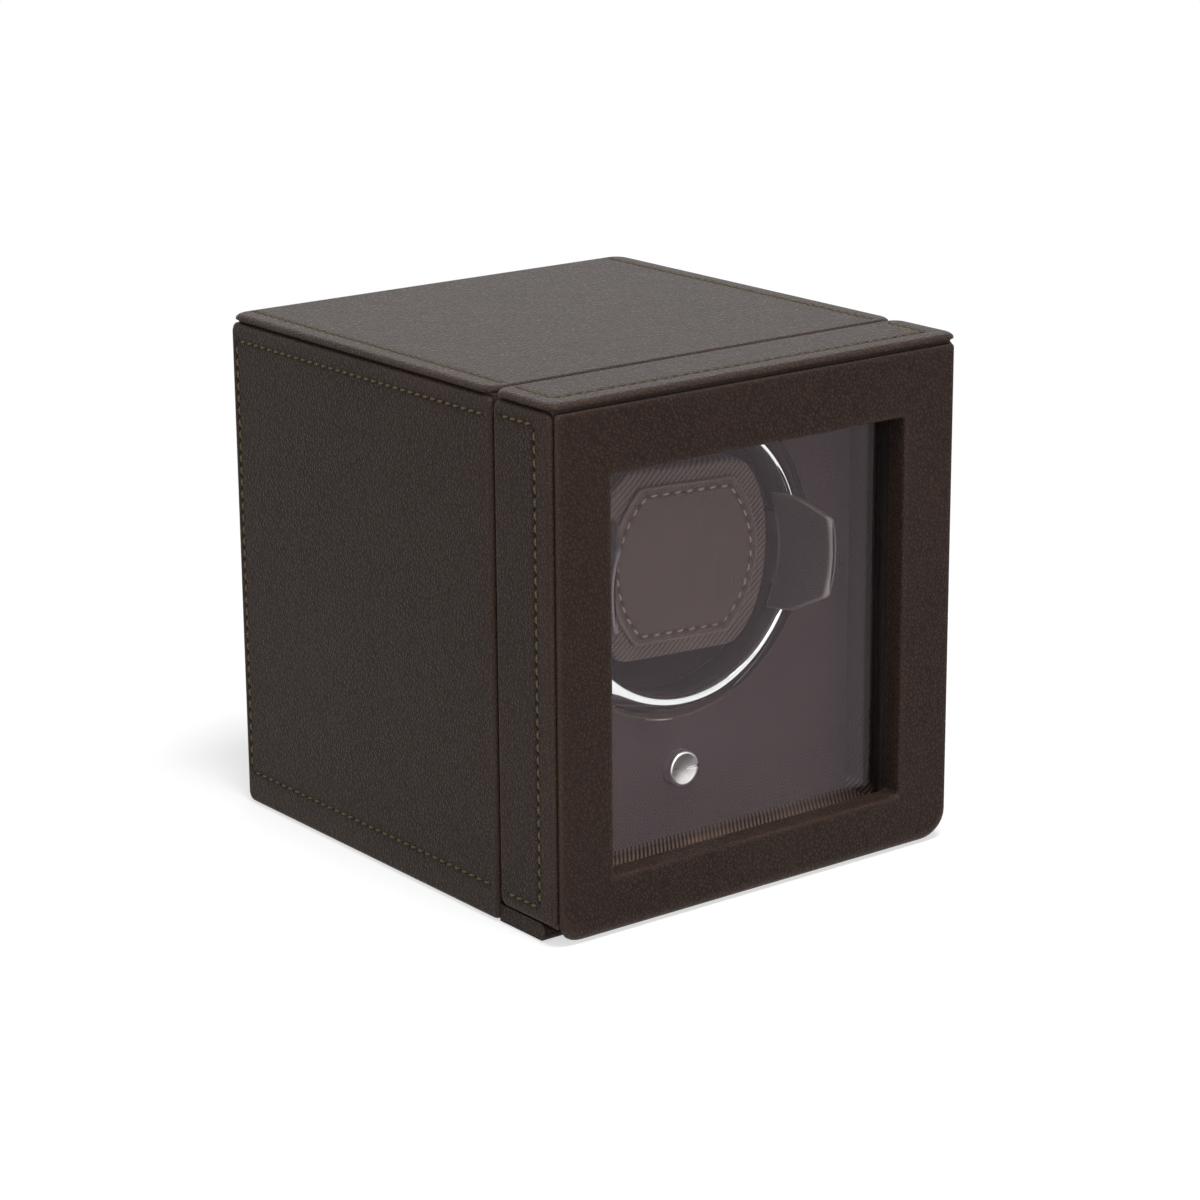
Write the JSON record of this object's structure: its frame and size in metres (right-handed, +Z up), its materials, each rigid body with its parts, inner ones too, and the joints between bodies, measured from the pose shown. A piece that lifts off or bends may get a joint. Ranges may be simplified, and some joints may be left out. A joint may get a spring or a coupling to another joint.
{
  "type": "watch winder",
  "caption": "Leather-covered cube watch winder: a glass window in a drop-front cover, and a motor-driven drum in a chrome ring that turns a padded watch cuff.",
  "frame": {"origin": "middle of the footprint, on the surface that the four foot pads stand on", "axes": "+Z up, the window faces -Y, +X to the right seen from the front"},
  "size_m": [0.145, 0.157, 0.152],
  "materials": {
    "leather_panel": "pebbled grain, satin",
    "carcass_board": "dark-stained fibreboard",
    "lining_cloth": "ribbed twill",
    "window_glass": "clear",
    "chrome_trim": "polished",
    "hinge_steel": "satin",
    "black_plastic": "matte",
    "ear_plastic": "satin",
    "cuff_cloth": "ribbed twill",
    "pad_leather": "pebbled grain, satin",
    "gear_nylon": "natural",
    "bush_bronze": "sintered",
    "plate_metal": "satin",
    "circuit_laminate": "lacquered",
    "lead_cover": "matte",
    "foot_rubber": "matte"
  },
  "bodies": {
    "case": {"base_board": "leather_panel", "left_board": "carcass_board", "right_board": "carcass_board", "top_board": "carcass_board", "back_board": "carcass_board", "left_panel": "leather_panel", "right_panel": "leather_panel", "top_panel": "leather_panel", "back_panel": "leather_panel", "foot_pads": "foot_rubber", "recess_lining": "lining_cloth", "fascia_cloth": "lining_cloth", "fascia_board": "carcass_board", "bezel_ring": "chrome_trim", "drum_collar": "black_plastic", "collar_screws": "hinge_steel", "hinge_leaf_case": "hinge_steel", "hinge_pin": "hinge_steel", "case_magnets": "hinge_steel", "plate_posts": "hinge_steel", "plate_screws": "hinge_steel", "motor_plate": "plate_metal", "shaft_bushes": "bush_bronze", "gearbox": "black_plastic", "motor": "plate_metal", "circuit_board": "circuit_laminate", "circuit_posts": "gear_nylon", "circuit_parts": "black_plastic", "rotary_switch": "black_plastic", "switch_nut": "bush_bronze", "dc_inlet": "black_plastic", "inlet_nut": "bush_bronze", "inner_leads": "lead_cover"},
    "cover": {"window_board": "carcass_board", "front_panel": "leather_panel", "cover_left_wall": "carcass_board", "cover_right_wall": "carcass_board", "cover_top_wall": "carcass_board", "cover_left_panel": "leather_panel", "cover_right_panel": "leather_panel", "cover_top_panel": "leather_panel", "window_glass": "window_glass", "glass_retainer": "lining_cloth", "hinge_leaf_cover": "hinge_steel", "cover_magnets": "hinge_steel"},
    "drum": {"drum": "black_plastic", "drum_shaft": "hinge_steel", "drum_gear": "gear_nylon", "shaft_clip": "hinge_steel"},
    "pinion": {"pinion": "gear_nylon", "pinion_shaft": "hinge_steel"},
    "knob": {"knob": "chrome_trim", "spindle": "hinge_steel"},
    "cuff": {"cuff_core": "cuff_cloth", "cuff_pad": "pad_leather", "cuff_spine": "black_plastic", "ear_pins": "hinge_steel"},
    "ear_left": {"ear_left": "ear_plastic"},
    "ear_right": {"ear_right": "ear_plastic"}
  },
  "joints": [
    {"name": "cover_hinge", "type": "hinge", "parent": "case", "child": "cover", "pos_m": [0, -0.0755, 0.0035], "axis": [1, 0, 0], "range_deg": [0, 90]},
    {"name": "drum_spin", "type": "hinge", "parent": "case", "child": "drum", "pos_m": [0, -0.02, 0.09], "axis": [0, 1, 0], "continuous": true},
    {"name": "pinion_spin", "type": "hinge", "parent": "case", "child": "pinion", "pos_m": [0, 0.02, 0.06], "axis": [0, 1, 0], "continuous": true},
    {"name": "knob_turn", "type": "hinge", "parent": "case", "child": "knob", "pos_m": [0, -0.04, 0.0275], "axis": [0, 1, 0], "range_deg": [-60, 30]},
    {"name": "cuff_lift", "type": "slide", "parent": "drum", "child": "cuff", "axis": [0, -1, 0], "range_m": [0, 0.0065]},
    {"name": "ear_left_squeeze", "type": "hinge", "parent": "cuff", "child": "ear_left", "pos_m": [-0.03356, -0.0125, 0.09155], "axis": [0.0462, 0, 0.9989], "range_deg": [0, 2], "stiffness_Nm_per_rad": 2},
    {"name": "ear_right_squeeze", "type": "hinge", "parent": "cuff", "child": "ear_right", "pos_m": [0.03356, -0.0125, 0.08845], "axis": [-0.0462, 0, -0.9989], "range_deg": [0, 2], "stiffness_Nm_per_rad": 2}
  ],
  "couplings": [
    {"joint": "pinion_spin", "follows": "drum_spin", "ratio": -4}
  ]
}
